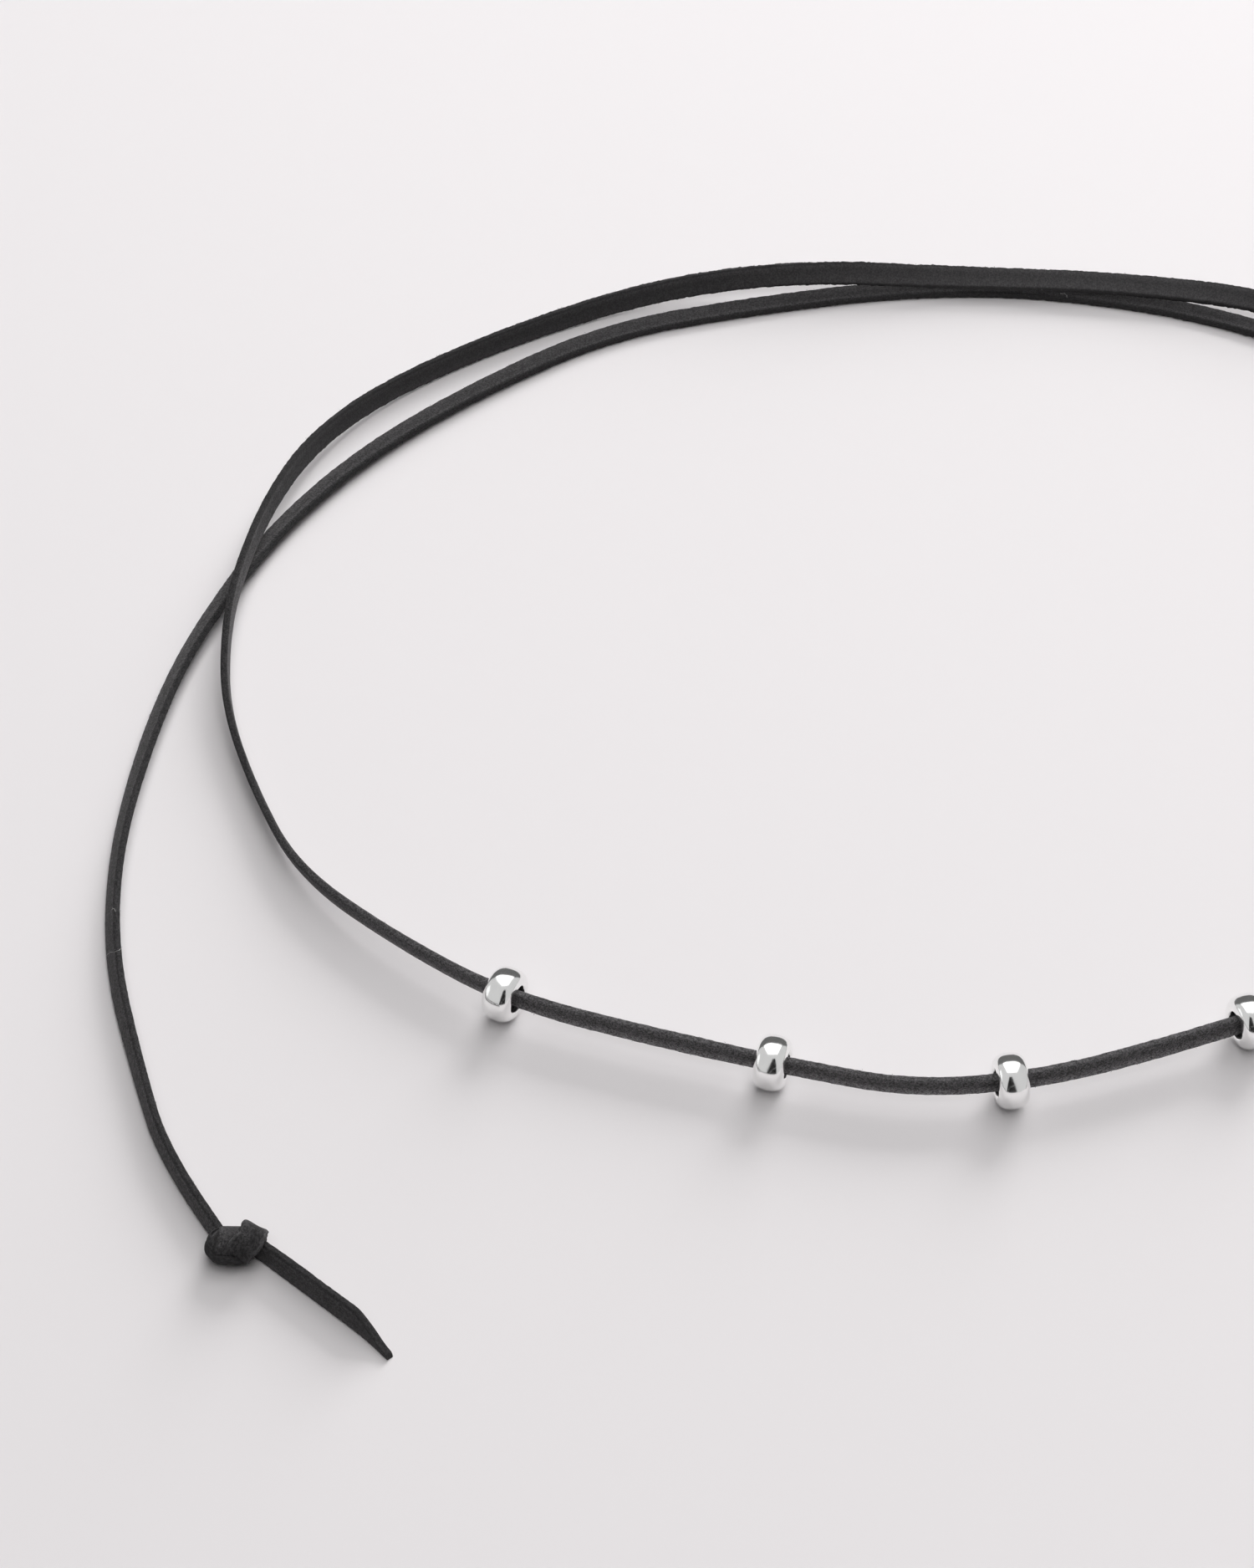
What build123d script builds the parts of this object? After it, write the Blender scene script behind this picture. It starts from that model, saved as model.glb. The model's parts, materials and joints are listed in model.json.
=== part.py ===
"""Leather cord necklace: one flat leather lace laid in two rounds, four silver beads and two knots.

The lace lies on a level surface, z = 0, as a loop about 180 mm across that is wrapped once and
crosses over itself at the left. Its front stretch carries the beads, and each loose end closes
in an overhand knot with an angled cut tail.
"""
from build123d import *
import math
import os

# Lace: a flat strip cut from hide, in millimetres
lace_width = 3.2
lace_thickness = 1.0

# Beads: barrel rings with a wide bore
bead_diameter = 7.0
bead_length = 3.9
bead_crown = 0.15
bead_shoulder = 1.2
bead_lip = 0.35
bore_clearance = 0.15

# Knots: a round lobe that the lace runs into, a band wrapped round it, and the tail
lobe_diameter = 4.7
band_diameter = 5.2
band_end_diameter = 4.2
band_round = 0.4
tail_length = 16.3
tail_cut = 6.4
tail_tip_width = 0.5
knot_gap = 0.2

# Knot places ahead of the lace's end and to its left, and the turn of each piece in degrees
lobe_aside = -0.45
band_ahead = 4.3
band_aside = 2.0
band_turn = 37
tail_ahead = 4.6
tail_aside = 2.97
tail_turn = 16.4

# Clearances where the lace passes over itself
crossing_clearance = 3.2
stack_clearance = 0.3
floor_gap = 0.03

# Lean of the strip in degrees: 0 stands on edge, 90 lies flat, positive leans its top to the left
crossing_lean = -58
flat_lean = -88
tail_lean = 7

# Bead places, measured along the lace from the left knot, the leftmost bead first
bead_stations = [553.2, 518.2, 488.6, 457.0]

facet_length = 4.0


def half_height(lean):
    """Half the height of the leaning strip's section."""
    turned = math.radians(lean)
    return lace_width / 2 * abs(math.cos(turned)) + lace_thickness / 2 * abs(math.sin(turned))


bore_diameter = math.hypot(lace_width, lace_thickness) + 2 * bore_clearance
stack_lift = 2 * half_height(flat_lean) + stack_clearance
crossing_lift = 2 * half_height(crossing_lean) + crossing_clearance

# Route of the lace from the left knot to the right one: x, y, lean, what holds it up, share of that height
lace_route = [
    (-86.6, -79.0, -5, "floor", 0),
    (-93.3, -68.2, -8, "floor", 0),
    (-97.6, -54.0, -16, "floor", 0),
    (-102.2, -36.0, -24, "floor", 0),
    (-103.1, -18.4, -28, "floor", 0),
    (-101.0, -0.5, -41, "floor", 0),
    (-97.2, 17.0, -45, "floor", 0),
    (-91.4, 31.8, -56, "floor", 0),
    (-84.4, 45.8, -64, "floor", 0),
    (-73.4, 60.2, -73, "floor", 0),
    (-58.8, 73.2, -80, "floor", 0),
    (-40.3, 86.0, -87, "floor", 0),
    (-19.5, 91.6, flat_lean, "floor", 0),
    (2.4, 95.6, flat_lean, "floor", 0),
    (23.6, 95.4, flat_lean, "floor", 0),
    (47.4, 89.7, flat_lean, "floor", 0),
    (69.0, 77.6, -78, "floor", 0),
    (83.2, 57.8, -58, "floor", 0),
    (89.4, 34.6, -35, "floor", 0),
    (89.5, 11.6, -16, "floor", 0),
    (84.1, -10.4, -3, "beads", 0.2),
    (71.5, -28.5, 3, "beads", 0.6),
    (52.9, -42.0, 5, "beads", 1),
    (31.8, -50.6, 3, "beads", 1),
    (14.5, -56.6, 7, "beads", 1),
    (-2.0, -58.6, 12, "beads", 1),
    (-17.2, -54.9, 12, "beads", 1),
    (-34.1, -50.0, 7, "beads", 1),
    (-52.0, -43.9, 12, "beads", 1),
    (-66.0, -34.0, 16, "beads", 0.9),
    (-79.2, -21.4, 18, "beads", 0.4),
    (-85.6, -6.5, 14, "floor", 0),
    (-90.2, 8.0, 7, "crossing", 0.15),
    (-91.0, 20.0, 2, "crossing", 0.55),
    (-90.0, 31.0, 3, "crossing", 1),
    (-86.0, 47.3, 6, "crossing", 1),
    (-80.3, 60.9, 8, "crossing", 0.5),
    (-70.5, 72.6, 4, "crossing", 0.1),
    (-53.2, 84.4, 6, "floor", 0),
    (-32.5, 93.9, 14, "stack", 0.2),
    (-11.7, 96.4, 28, "stack", 1),
    (10.3, 95.3, 60, "stack", 1),
    (32.6, 94.5, 69, "stack", 1),
    (55.8, 90.1, 56, "stack", 1),
    (75.6, 79.0, 43, "stack", 0.4),
    (90.2, 60.6, 26, "stack", 0.1),
    (97.7, 38.9, 10, "floor", 0),
    (101.5, 16.3, -5, "floor", 0),
    (103.2, -5.5, -16, "floor", 0),
    (103.2, -26.2, -21, "floor", 0),
    (101.2, -45.0, -20, "floor", 0),
    (95.7, -63.4, -13, "floor", 0),
    (88.6, -78.0, -5, "floor", 0),
]


def centre_height(lean, support, share):
    """Height of the lace's centre line where it rests on the floor or is held up by something."""
    lifts = {"floor": 0, "beads": bead_diameter / 2 - half_height(lean),
             "stack": stack_lift, "crossing": crossing_lift}
    return floor_gap + half_height(lean) + share * lifts[support]


def lace_line():
    """The lace's centre line, straight runs joined by arcs, with the run and radius of each corner."""
    points = [Vector(x, y, centre_height(*rest)) for x, y, *rest in lace_route]
    runs = [after - before for before, after in zip(points, points[1:])]
    radii = []
    for before, after in zip(runs, runs[1:]):
        turn = math.radians(before.get_angle(after))
        radii.append(0.45 * min(before.length, after.length) / math.tan(turn / 2))
    return FilletPolyline(*points, radius=radii), [run.length for run in runs], radii


def ordered_edges(line):
    """The line's edges from its first route point to its last, each with its direction."""
    x, y, *height = lace_route[0]
    start = Vector(x, y, centre_height(*height))
    rest = list(line.edges())
    ordered = []
    while rest:
        edge = min(rest, key=lambda e: min((e @ 0 - start).length, (e @ 1 - start).length))
        rest.remove(edge)
        forward = (edge @ 0 - start).length < (edge @ 1 - start).length
        ordered.append((edge, forward))
        start = edge @ 1 if forward else edge @ 0
    return ordered


def lace_stations(edges):
    """Places along the line: distance, point and heading, and the distances of the route points."""
    stations = []
    marks = [0.0]
    distance = 0.0
    for edge, forward in edges:
        curved = edge.geom_type == GeomType.CIRCLE
        steps = max(2, math.ceil(edge.length / facet_length)) if curved else 1
        for step in range(steps + 1):
            if stations and step == 0:
                continue
            along = step / steps
            place = along if forward else 1 - along
            heading = edge % place if forward else edge % place * -1
            stations.append((distance + along * edge.length, edge @ place, heading))
        if curved:
            marks.append(distance + edge.length / 2)
        distance += edge.length
    marks.append(distance)
    return stations, marks


def lean_at(distance, marks):
    """The strip's lean at a distance, blended between the route points."""
    leans = [row[2] for row in lace_route]
    for before, after, lean, next_lean in zip(marks, marks[1:], leans, leans[1:]):
        if distance <= after:
            return lean + (next_lean - lean) * (distance - before) / (after - before)
    return leans[-1]


def strip_section(point, heading, lean):
    """The four corners of the strip's section."""
    left = Vector(0, 0, 1).cross(heading).normalized()
    top = heading.cross(left)
    turned = math.radians(lean)
    across = (top * math.cos(turned) + left * math.sin(turned)) * (lace_width / 2)
    through = (left * math.cos(turned) - top * math.sin(turned)) * (lace_thickness / 2)
    return [point + across + through, point - across + through,
            point - across - through, point + across - through]


def triangle(a, b, c):
    return Face(Wire.make_polygon([a, b, c], close=True))


def lace(stations, marks):
    """The whole lace, one closed solid that follows the route's turns and lean."""
    rings = [strip_section(point, heading, lean_at(distance, marks))
             for distance, point, heading in stations]
    faces = [triangle(*rings[0][:3]), triangle(rings[0][0], rings[0][2], rings[0][3]),
             triangle(*rings[-1][:3]), triangle(rings[-1][0], rings[-1][2], rings[-1][3])]
    for ring, following in zip(rings, rings[1:]):
        for side in range(4):
            other = (side + 1) % 4
            faces.append(triangle(ring[side], ring[other], following[other]))
            faces.append(triangle(ring[side], following[other], following[side]))
    return Solid(Shell(faces))


def bead():
    """A barrel ring, its axis along X."""
    outer = bead_diameter / 2
    inner = bore_diameter / 2
    end = bead_length / 2
    edge = outer - bead_crown
    shoulder = min(bead_shoulder, 0.9 * (edge - inner) - bead_lip, 0.9 * end)
    profile = make_face(Polyline((-end, edge), (-end, inner), (end, inner), (end, edge))
                        + ThreePointArc((end, edge), (0, outer), (-end, edge)))
    shoulders = profile.vertices().sort_by(Axis.Y)[2:]
    profile = fillet(shoulders, shoulder)
    lips = profile.vertices().sort_by(Axis.Y)[:2]
    profile = fillet(lips, bead_lip)
    return revolve(profile, Axis.X)


def bead_on_lace(distance, stations):
    """A bead threaded at a distance along the lace."""
    for (before, start, _), (after, end, _) in zip(stations, stations[1:]):
        if before <= distance <= after:
            centre = start + (end - start) * ((distance - before) / (after - before))
            return Plane(origin=centre, x_dir=(end - start).normalized(),
                         z_dir=Vector(0, 0, 1)).location * bead()
    raise ValueError("bead off the lace")


def knot():
    """A knot with its tail, from a lace that ends at the origin, heading +X, and turns to its left."""
    radius = lobe_diameter / 2
    lobe = Location((knot_gap + radius, lobe_aside, radius)) * Sphere(radius)

    reach = lace_width / 2
    band_profile = make_face(Polyline((reach, band_end_diameter / 2), (reach, 0), (-reach, 0),
                                      (-reach, band_diameter / 2), (reach, band_end_diameter / 2)))
    rims = band_profile.vertices().sort_by(Axis.Y)[2:]
    band = revolve(fillet(rims, band_round), Axis.X)
    band = Location((band_ahead, band_aside, band_diameter / 2), (0, 0, band_turn)) * band

    low = -lace_width / 2
    blade = make_face(Polyline((0, low), (tail_length + tail_cut, low),
                               (tail_length + tail_cut, low + tail_tip_width),
                               (tail_length, -low), (0, -low), (0, low)))
    blade = extrude(Plane.XZ * blade, lace_thickness / 2, both=True)
    blade = Rotation(-tail_lean, 0, 0) * blade
    blade = Location((tail_ahead, tail_aside, half_height(tail_lean)), (0, 0, tail_turn)) * blade
    return lobe + band + blade


def knot_at(point, heading, mirrored):
    """The knot set on a lace end, mirrored for the right one."""
    ahead = Vector(heading.X, heading.Y, 0).normalized()
    piece = mirror(knot(), Plane.XZ) if mirrored else knot()
    return Plane(origin=(point.X, point.Y, 0), x_dir=ahead, z_dir=(0, 0, 1)).location * piece


line, runs, radii = lace_line()
edges = ordered_edges(line)
stations, marks = lace_stations(edges)
print("runs", [round(run, 1) for run in runs])
print("radii", [round(radius, 1) for radius in radii])
print("lace length", round(marks[-1], 1))

parts = {"leather_lace": lace(stations, marks)}
expected = lace_width * lace_thickness * marks[-1]
print("lace volume", round(parts["leather_lace"].volume, 1), "section times length", round(expected, 1))
for number, distance in enumerate(bead_stations, 1):
    parts[f"bead_{number}"] = bead_on_lace(distance, stations)
parts["knot_left"] = knot_at(stations[0][1], stations[0][2] * -1, False)
parts["knot_right"] = knot_at(stations[-1][1], stations[-1][2], True)

os.makedirs("parts", exist_ok=True)
for name, solid in parts.items():
    export_step(solid, f"parts/{name}.step")
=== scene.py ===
"""Leather cord necklace: a flat leather lace in two rounds, silver ring beads and two knotted ends."""
import bisect
import json
import math
import random

import bmesh
import bpy
from mathutils import Matrix, Vector, noise

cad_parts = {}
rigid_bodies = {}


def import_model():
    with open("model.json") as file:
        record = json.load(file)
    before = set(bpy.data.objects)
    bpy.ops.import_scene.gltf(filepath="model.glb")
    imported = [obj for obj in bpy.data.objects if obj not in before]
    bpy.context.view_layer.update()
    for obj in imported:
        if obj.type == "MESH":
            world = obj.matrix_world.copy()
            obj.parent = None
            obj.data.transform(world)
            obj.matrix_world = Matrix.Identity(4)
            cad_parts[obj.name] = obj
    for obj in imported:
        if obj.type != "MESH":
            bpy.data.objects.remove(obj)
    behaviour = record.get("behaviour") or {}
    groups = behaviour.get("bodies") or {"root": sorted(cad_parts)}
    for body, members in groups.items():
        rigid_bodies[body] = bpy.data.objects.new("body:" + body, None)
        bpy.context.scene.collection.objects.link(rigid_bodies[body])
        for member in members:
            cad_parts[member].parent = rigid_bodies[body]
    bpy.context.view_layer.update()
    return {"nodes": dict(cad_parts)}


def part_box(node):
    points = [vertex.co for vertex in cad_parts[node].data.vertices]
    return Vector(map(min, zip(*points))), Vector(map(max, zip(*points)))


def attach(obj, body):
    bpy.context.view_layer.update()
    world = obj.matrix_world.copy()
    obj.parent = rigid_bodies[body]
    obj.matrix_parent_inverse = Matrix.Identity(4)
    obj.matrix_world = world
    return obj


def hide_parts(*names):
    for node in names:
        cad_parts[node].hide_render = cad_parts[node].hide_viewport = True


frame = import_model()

bl_info = {
    "name": "Leather cord necklace",
    "version": (1, 0, 0),
    "blender": (4, 5, 0),
    "location": "View3D > Sidebar > Necklace",
    "description": "Models a leather lace necklace with silver beads and knotted ends",
    "category": "Object",
}

MM = 0.001
BODY = "root"
BEADS = sorted(name for name in frame["nodes"] if name.startswith("bead_"))
BEAD_RADIUS = 3.5 * MM

# Gaps between the lace and what it lies on
FLOOR_GAP = 0.03 * MM
STACK_CLEARANCE = 0.3 * MM
CROSSING_CLEARANCE = 0.15 * MM
# How far the lace runs on into each knot
LACE_IN_KNOT = 1.8 * MM
# Leans of the strands that the lace lies on, in degrees from upright
FLAT_LEAN = -88
CROSSING_LEAN = -58

# How finely a strip is divided along its length, and a strand's points for each point of its route
LACE_PITCH = 0.34 * MM
KNOT_PITCH = 0.16 * MM
TAIL_PITCH = 1.5 * KNOT_PITCH
LACE_STEPS = 24
KNOT_STEPS = 16
# Places along a strip that are told apart, for each metre
PLACES_PER_METRE = 1e7

# Middles of the front stretch and of the two back stretches, in millimetres along the lace
FRONT_MIDDLE = 490.0
INNER_BACK_MIDDLE = 260.0
OUTER_BACK_MIDDLE = 770.0
# Where the grain of each strip of a knot starts, in millimetres along the same leather
CORE_GRAIN = 1080
LOBE_GRAIN = 1100
REAR_GRAIN = 1112
LOW_GRAIN = 1118
TAIL_GRAIN = 1140
COLLAR_GRAIN = 1300

# Steps round a bead's section over its crown and round one lip, and steps round the bead itself
CROWN_STEPS = 28
LIP_STEPS = 5
BEAD_STEPS = 112

# Short fibres along the lace's cut edges: how many, how far from its ends in metres, and the ranges of their
# lengths and of their radii at the root in millimetres
FIBRES = 3400
FIBRE_MARGIN = 0.002
FIBRE_LENGTHS = (0.08, 0.24)
FIBRE_RADII = (0.018, 0.035)
HAIR_RADIUS = 0.045 * MM

# The camera: its sensor's width in millimetres, its focal length and the picture's width in pixels, and the
# place that it looks at
SENSOR_WIDTH = 36
FOCAL_PIXELS = 5960
PICTURE_PIXELS = 1500
TARGET = Vector((-0.0374, -0.0032, 0))

LIGHT_COLOUR = (1.0, 0.985, 0.99)
# How far the lights, the light tent's parts and the floor's edges are from the necklace, in metres
LIGHT_DISTANCE = 1.45
TENT_RADIUS = 1.5
CARD_DISTANCE = 0.9
FOLD_DISTANCE = 0.6
FLOOR_REACH = 4

# Route of the lace from the left knot to the right one: x and y in metres, lean in degrees from upright, what
# holds the lace up there, and the share of that height
LACE_ROUTE = [
    (-0.0866, -0.0790, -5, "floor", 0),
    (-0.0933, -0.0682, -8, "floor", 0),
    (-0.0976, -0.0540, -16, "floor", 0),
    (-0.1022, -0.0360, -24, "floor", 0),
    (-0.1031, -0.0184, -28, "floor", 0),
    (-0.1010, -0.0005, -41, "floor", 0),
    (-0.0972, 0.0170, -45, "floor", 0),
    (-0.0914, 0.0318, -56, "floor", 0),
    (-0.0844, 0.0458, -64, "floor", 0),
    (-0.0734, 0.0602, -73, "floor", 0),
    (-0.0588, 0.0732, -80, "floor", 0),
    (-0.0403, 0.0860, -87, "floor", 0),
    (-0.0195, 0.0916, FLAT_LEAN, "floor", 0),
    (0.0024, 0.0956, FLAT_LEAN, "floor", 0),
    (0.0236, 0.0954, FLAT_LEAN, "floor", 0),
    (0.0474, 0.0897, FLAT_LEAN, "floor", 0),
    (0.0690, 0.0776, -78, "floor", 0),
    (0.0832, 0.0578, -58, "floor", 0),
    (0.0894, 0.0346, -35, "floor", 0),
    (0.0895, 0.0116, -16, "floor", 0),
    (0.0841, -0.0104, -3, "beads", 0.2),
    (0.0715, -0.0285, 3, "beads", 0.6),
    (0.0529, -0.0420, 5, "beads", 1),
    (0.0318, -0.0506, 3, "beads", 1),
    (0.0145, -0.0566, 7, "beads", 1),
    (-0.0020, -0.0586, 12, "beads", 1),
    (-0.0172, -0.0549, 12, "beads", 1),
    (-0.0341, -0.0500, 7, "beads", 1),
    (-0.0520, -0.0439, 12, "beads", 1),
    (-0.0660, -0.0340, 16, "beads", 0.9),
    (-0.0792, -0.0214, 18, "beads", 0.4),
    (-0.0856, -0.0065, 14, "floor", 0),
    (-0.0902, 0.0080, 7, "crossing", 0.15),
    (-0.0910, 0.0200, 2, "crossing", 0.55),
    (-0.0900, 0.0310, 3, "crossing", 1),
    (-0.0860, 0.0473, 6, "crossing", 1),
    (-0.0803, 0.0609, 8, "crossing", 0.5),
    (-0.0705, 0.0726, 4, "crossing", 0.1),
    (-0.0532, 0.0844, 6, "floor", 0),
    (-0.0325, 0.0939, 14, "stack", 0.2),
    (-0.0117, 0.0964, 28, "stack", 1),
    (0.0103, 0.0953, 60, "stack", 1),
    (0.0326, 0.0945, 69, "stack", 1),
    (0.0558, 0.0901, 56, "stack", 1),
    (0.0756, 0.0790, 43, "stack", 0.4),
    (0.0902, 0.0606, 26, "stack", 0.1),
    (0.0977, 0.0389, 10, "floor", 0),
    (0.1015, 0.0163, -5, "floor", 0),
    (0.1032, -0.0055, -16, "floor", 0),
    (0.1032, -0.0262, -21, "floor", 0),
    (0.1012, -0.0450, -20, "floor", 0),
    (0.0957, -0.0634, -13, "floor", 0),
    (0.0886, -0.0780, -5, "floor", 0),
]

# Strands of a knot, each row a place in millimetres and the way to the strip's top edge there. The lace ends
# at the origin, heading +X
LOBE_STRAND = [
    ((1.3, 0.6, 2.2), (-0.2, 0.2, 0.95)),
    ((1.0, -1.1, 2.2), (-0.15, 0.15, 1.0)),
    ((2.1, -2.4, 2.0), (-0.1, 0.3, 0.95)),
    ((3.9, -2.3, 1.8), (-0.2, 0.5, 0.85)),
    ((4.9, -0.9, 1.6), (-0.5, 0.4, 0.75)),
    ((5.0, 0.6, 1.4), (-0.7, 0.2, 0.7)),
    ((4.6, 1.6, 1.5), (-0.7, 0.0, 0.7)),
]
REAR_STRAND = [
    ((1.9, 2.5, 1.6), (0.5, 0.86, 0.0)),
    ((1.7, 2.4, 3.2), (0.5, 0.86, 0.0)),
    ((2.1, 1.4, 4.6), (0.5, 0.86, 0.0)),
    ((3.2, 0.3, 4.9), (0.5, 0.86, 0.0)),
    ((4.3, -0.7, 4.0), (0.55, 0.83, 0.0)),
    ((4.6, -1.0, 2.2), (0.6, 0.8, 0.0)),
    ((4.2, -0.6, 0.6), (0.6, 0.8, 0.0)),
]
LOW_STRAND = [
    ((1.3, -1.2, 1.7), (0.59, -0.37, 0.72)),
    ((2.1, -2.0, 1.6), (0.59, -0.37, 0.72)),
    ((3.5, -1.9, 1.5), (0.59, -0.37, 0.72)),
    ((4.6, -0.8, 1.5), (0.59, -0.37, 0.72)),
    ((5.2, 0.5, 1.15), (0.59, -0.37, 0.72)),
    ((4.5, 1.6, 0.7), (0.59, -0.37, 0.72)),
]
COLLAR_STRAND = [
    ((3.7, 3.0, 1.0), (0.85, 0.4, 0.1)),
    ((3.3, 3.7, 2.5), (0.88, 0.35, 0.1)),
    ((3.8, 3.3, 4.0), (0.92, 0.3, 0.1)),
    ((4.9, 2.7, 4.55), (0.86, 0.45, 0.0)),
    ((5.6, 1.8, 4.35), (0.8, 0.56, -0.2)),
    ((5.6, 0.7, 3.9), (0.8, 0.55, -0.3)),
    ((5.6, 0.2, 3.2), (0.8, 0.55, -0.3)),
    ((5.1, 0.1, 2.2), (0.8, 0.6, -0.2)),
    ((4.2, 0.4, 1.1), (0.7, 0.7, 0.0)),
]
TAIL_STRAND = [
    ((2.8, 2.45, 1.65), (-0.02, 0.08, 1.0)),
    ((5.3, 3.17, 1.65), (-0.02, 0.08, 1.0)),
    ((10.0, 4.65, 1.65), (-0.02, 0.1, 0.99)),
    ((15.0, 6.1, 1.65), (-0.03, 0.12, 0.99)),
    ((20.0, 7.6, 1.65), (-0.04, 0.14, 0.99)),
    ((23.5, 8.5, 1.65), (-0.04, 0.14, 0.99)),
    ((27.2, 9.1, 1.65), (-0.04, 0.14, 0.99)),
]
# The tail's width where it is cut off at an angle: millimetres along it, then millimetres left of its width
TAIL_CUT = [(0.0, 3.2), (18.2, 3.2), (18.8, 3.0), (20.0, 2.4), (21.4, 1.7), (22.4, 1.15), (23.4, 0.75),
            (24.2, 0.6), (24.5, 0.35), (24.6, 0.15)]
# Ends of the middle line of the knot's body, its radius at the first end, how much less that is at the other
# end, and how far inside the core stays, in millimetres
KNOT_LINE = [Vector((3.0, -0.45, 2.25)), Vector((4.2, 2.2, 2.2))]
KNOT_RADIUS = 2.2
KNOT_TAPER = 0.3
CORE_INSET = 0.2
# Share of a strand's distance beyond the knot's radius that the pull leaves
LOOSENESS = 0.12

# Loose hairs on the lace: millimetres along it, then the hair's bends in millimetres ahead of there, up from
# the strip's middle and out from the middle of its thickness
LOOSE_HAIRS = [
    (47.3, [(0.65, -1.3, 0.57), (0.45, -0.7, 0.6), (-0.1, 0.3, 0.6), (-1.05, 1.45, 0.58), (-1.0, 1.68, 0.3),
            (-0.85, 1.7, 0.0), (-0.45, 1.7, -0.3), (-0.05, 1.68, -0.5)]),
    (53.6, [(0.1, 1.2, 0.57), (0.1, 1.5, 0.56), (-0.1, 1.68, 0.4), (-0.4, 1.7, 0.35), (-0.5, 1.7, 0.2)]),
    (257.7, [(-0.5, 1.0, 0.57), (0.1, 0.95, 0.6), (0.45, 1.25, 0.6), (0.5, 1.66, 0.5)]),
]

# Cards of the light tent, each with its brightness and its corners' azimuths and elevations in degrees.
# Azimuth 0 is behind the necklace and 180 is the camera's side.
TENT_CARDS = {
    "back_wall": (0.13, [(-60, -2), (60, -2), (48, 36), (-48, 36)]),
    "softbox": (1.35, [(-42, 37), (42, 37), (120, 70), (-120, 70)]),
    "tent_slit": (0.015, [(168, 62), (192, 62), (204, 1), (160, 1)]),
    "tent_seam": (0.05, [(204, 1), (290, 1), (290, 3), (204, 3)]),
    "fold_high": (0.1, [(170, 50), (176, 47), (174, 36), (171, 40)]),
    "fold_middle": (0.2, [(163, 27), (187, 22), (187, 20.5), (166, 24)]),
    "fold_low": (0.13, [(186, 17), (194, 15), (197, 5), (190, 9)]),
    "side_glow": (1.05, [(250, 0), (286, 2), (282, 30), (260, 28)]),
}


class NecklaceLeather(bpy.types.PropertyGroup):
    """Sizes and colours of the leather lace."""
    width: bpy.props.FloatProperty(
        name="Width", description="Width of the strip", default=3.26 * MM, unit="LENGTH")
    thickness: bpy.props.FloatProperty(
        name="Thickness", description="Thickness of the leather", default=1.04 * MM, unit="LENGTH")
    arris: bpy.props.FloatProperty(
        name="Arris", description="Rounding of the cut corners", default=0.25 * MM, unit="LENGTH")
    ragged: bpy.props.FloatProperty(
        name="Raggedness", description="How far the cut edges wander", default=0.12 * MM, unit="LENGTH")
    face: bpy.props.FloatVectorProperty(
        name="Face", description="Colour of the dyed face", default=(0.038, 0.037, 0.038), subtype="COLOR")
    cut: bpy.props.FloatVectorProperty(
        name="Cut edge", description="Colour of the cut edges", default=(0.042, 0.041, 0.042),
        subtype="COLOR")


class NecklaceBeads(bpy.types.PropertyGroup):
    """Sizes and colour of the ring beads."""
    diameter: bpy.props.FloatProperty(
        name="Diameter", description="Width across the bead", default=2 * BEAD_RADIUS, unit="LENGTH")
    length: bpy.props.FloatProperty(
        name="Length", description="Length along the lace", default=3.9 * MM, unit="LENGTH")
    bore: bpy.props.FloatProperty(
        name="Bore", description="Width of the hole", default=3.46 * MM, unit="LENGTH")
    lip: bpy.props.FloatProperty(
        name="Lip", description="Rounding at the mouth of the hole", default=0.35 * MM, unit="LENGTH")
    squareness: bpy.props.FloatProperty(
        name="Squareness", description="2 is a round crown, and more is a flatter one", default=2.4)
    silver: bpy.props.FloatVectorProperty(
        name="Silver", description="Colour of the metal", default=(0.935, 0.935, 0.93), subtype="COLOR")


class NecklaceKnots(bpy.types.PropertyGroup):
    """Sizes of the knots."""
    tail: bpy.props.FloatProperty(
        name="Tail", description="Length of the cut tail", default=24.6 * MM, unit="LENGTH")


class NecklaceStage(bpy.types.PropertyGroup):
    """Floor, camera and light."""
    floor: bpy.props.FloatVectorProperty(
        name="Floor", description="Colour of the floor", default=(0.80, 0.785, 0.79), subtype="COLOR")
    surround: bpy.props.FloatProperty(
        name="Surround", description="Brightness of the faint light from all round", default=0.04)
    tent: bpy.props.FloatProperty(
        name="Tent", description="Brightness of the white tent that the metal mirrors", default=0.62)
    window: bpy.props.FloatProperty(
        name="Window light", description="Power of the tall soft light from behind", default=27.0,
        unit="POWER")
    skylight: bpy.props.FloatProperty(
        name="Skylight", description="Power of the light from above, behind the necklace", default=7.4,
        unit="POWER")
    ceiling: bpy.props.FloatProperty(
        name="Ceiling light", description="Power of the light from above, before the necklace", default=8.8,
        unit="POWER")
    elevation: bpy.props.FloatProperty(
        name="Elevation", description="How far the camera looks down", default=math.radians(46),
        subtype="ANGLE")
    distance: bpy.props.FloatProperty(
        name="Distance", description="From the camera to its target", default=0.65, unit="LENGTH")


def sizes_of(group):
    """The scene's values of one property group."""
    return getattr(bpy.context.scene, "necklace_" + group)


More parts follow.
